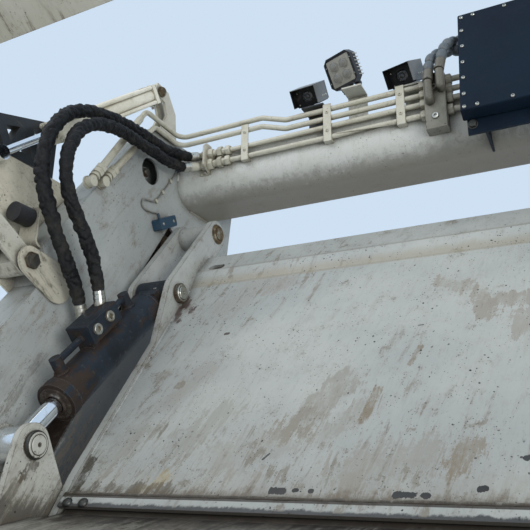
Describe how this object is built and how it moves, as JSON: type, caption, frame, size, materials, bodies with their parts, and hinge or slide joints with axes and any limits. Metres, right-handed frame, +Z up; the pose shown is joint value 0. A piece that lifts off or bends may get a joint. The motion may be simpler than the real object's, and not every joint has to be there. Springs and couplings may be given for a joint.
{
  "type": "rear loader tailgate of a garbage truck",
  "caption": "Compaction tailgate with sliding packer plate, swinging blade, hydraulic cylinders, hopper and top cross beam.",
  "frame": {"origin": "middle of the top hinge axis that carries the tailgate on the truck's body", "axes": "+X to the right seen from behind, +Y forward to the truck's body, +Z up"},
  "size_m": [2.5, 2.1807, 2.7523],
  "materials": {
    "white_paint": "weathered white gloss paint, chipped and stained",
    "primer_grey": "bare blue grey primer with rust",
    "chrome_rod": "hard chromed rod",
    "cream_paint": "cream paint",
    "bare_steel": "worn bare steel with rust",
    "black_sleeve": "wrinkled black fabric sleeve over rubber hose",
    "black_rubber": "matt black rubber",
    "anthracite": "dark grey satin paint",
    "silver_hood": "bare silver sheet",
    "sensor_blue": "dull blue plastic"
  },
  "bodies": {
    "tailgate": {"left_wall_inner": "white_paint", "right_wall_inner": "white_paint", "left_wall_outer": "white_paint", "right_wall_outer": "white_paint", "left_wall_frame": "white_paint", "right_wall_frame": "white_paint", "guide_rails": "white_paint", "hopper_floor": "white_paint", "load_sill": "white_paint", "cross_beam": "cream_paint", "roof_sheet": "white_paint", "portal_header": "white_paint", "hinge_lugs": "white_paint", "latch_lugs": "white_paint", "gooseneck_brackets": "white_paint", "air_base_pins": "bare_steel", "cover_brackets": "white_paint", "cover_pivots": "bare_steel", "rubber_stops": "black_rubber", "hydraulic_tubes": "cream_paint", "manifold_block": "cream_paint", "bulkhead_brackets": "cream_paint", "control_box": "anthracite", "work_lamp": "black_rubber", "cameras": "silver_hood", "equipment_brackets": "cream_paint", "position_sensor": "sensor_blue", "tail_lamps": "cream_paint", "sensor_cable": "black_rubber", "first_supply_hose": "black_rubber", "second_supply_hose": "black_rubber", "left_outer_hose": "black_sleeve", "left_inner_hose": "black_sleeve", "right_outer_hose": "black_sleeve", "right_inner_hose": "black_sleeve"},
    "carriage": {"carriage_plate": "white_paint", "carriage_inner_ears": "white_paint", "carriage_outer_ears": "white_paint", "carriage_bosses": "white_paint", "upper_axles": "bare_steel", "lower_axles": "bare_steel", "guide_rollers": "bare_steel", "barrel_pins": "bare_steel"},
    "blade": {"blade": "white_paint", "blade_edge": "bare_steel", "blade_ears": "white_paint", "blade_pins": "bare_steel"},
    "cover": {"cover_arms": "white_paint", "cover_tube": "white_paint", "cover_rod_pins": "bare_steel", "cover_sheet": "white_paint", "cover_trusses": "anthracite"},
    "left_blade_barrel": {"left_blade_cylinder_barrel": "primer_grey"},
    "left_blade_rod": {"left_blade_cylinder_rod": "chrome_rod"},
    "left_air_barrel": {"left_air_cylinder_barrel": "cream_paint"},
    "left_air_rod": {"left_air_cylinder_rod": "chrome_rod"},
    "right_blade_barrel": {"right_blade_cylinder_barrel": "primer_grey"},
    "right_blade_rod": {"right_blade_cylinder_rod": "chrome_rod"},
    "right_air_barrel": {"right_air_cylinder_barrel": "cream_paint"},
    "right_air_rod": {"right_air_cylinder_rod": "chrome_rod"}
  },
  "joints": [
    {"name": "carriage_slide", "type": "slide", "parent": "tailgate", "child": "carriage", "axis": [0, -0.5577, -0.83], "range_m": [0, 0.5]},
    {"name": "blade_hinge", "type": "hinge", "parent": "carriage", "child": "blade", "pos_m": [0, -1.15035, -1.51526], "axis": [1, 0, 0], "range_deg": [0, 90]},
    {"name": "cover_hinge", "type": "hinge", "parent": "tailgate", "child": "cover", "pos_m": [0, -1.161, -0.812], "axis": [1, 0, 0], "range_deg": [0, 65]},
    {"name": "left_blade_barrel_hinge", "type": "hinge", "parent": "carriage", "child": "left_blade_barrel", "pos_m": [-0.941, -0.725, -0.825], "axis": [1, 0, 0], "range_deg": [-1, 11]},
    {"name": "left_blade_rod_slide", "type": "slide", "parent": "left_blade_barrel", "child": "left_blade_rod", "axis": [0, -0.7274, -0.6862], "range_m": [0, 0.278]},
    {"name": "left_air_barrel_hinge", "type": "hinge", "parent": "tailgate", "child": "left_air_barrel", "pos_m": [-1.145, -0.554, 0.107], "axis": [1, 0, 0], "range_deg": [-1, 4]},
    {"name": "left_air_rod_slide", "type": "slide", "parent": "left_air_barrel", "child": "left_air_rod", "axis": [0, -0.7583, -0.6519], "range_m": [0, 0.353]},
    {"name": "right_blade_barrel_hinge", "type": "hinge", "parent": "carriage", "child": "right_blade_barrel", "pos_m": [0.941, -0.725, -0.825], "axis": [1, 0, 0], "range_deg": [-1, 11]},
    {"name": "right_blade_rod_slide", "type": "slide", "parent": "right_blade_barrel", "child": "right_blade_rod", "axis": [0, -0.7274, -0.6862], "range_m": [0, 0.278]},
    {"name": "right_air_barrel_hinge", "type": "hinge", "parent": "tailgate", "child": "right_air_barrel", "pos_m": [1.145, -0.554, 0.107], "axis": [1, 0, 0], "range_deg": [-1, 4]},
    {"name": "right_air_rod_slide", "type": "slide", "parent": "right_air_barrel", "child": "right_air_rod", "axis": [0, -0.7583, -0.6519], "range_m": [0, 0.353]}
  ],
  "couplings": [
    {"joint": "left_blade_barrel_hinge", "follows": "blade_hinge", "ratio": 0.10079},
    {"joint": "left_blade_rod_slide", "follows": "blade_hinge", "m_per_rad": 0.17467},
    {"joint": "left_air_barrel_hinge", "follows": "cover_hinge", "ratio": 0.03887},
    {"joint": "left_air_rod_slide", "follows": "cover_hinge", "m_per_rad": 0.30777},
    {"joint": "right_blade_barrel_hinge", "follows": "blade_hinge", "ratio": 0.10079},
    {"joint": "right_blade_rod_slide", "follows": "blade_hinge", "m_per_rad": 0.17467},
    {"joint": "right_air_barrel_hinge", "follows": "cover_hinge", "ratio": 0.03887},
    {"joint": "right_air_rod_slide", "follows": "cover_hinge", "m_per_rad": 0.30777}
  ]
}
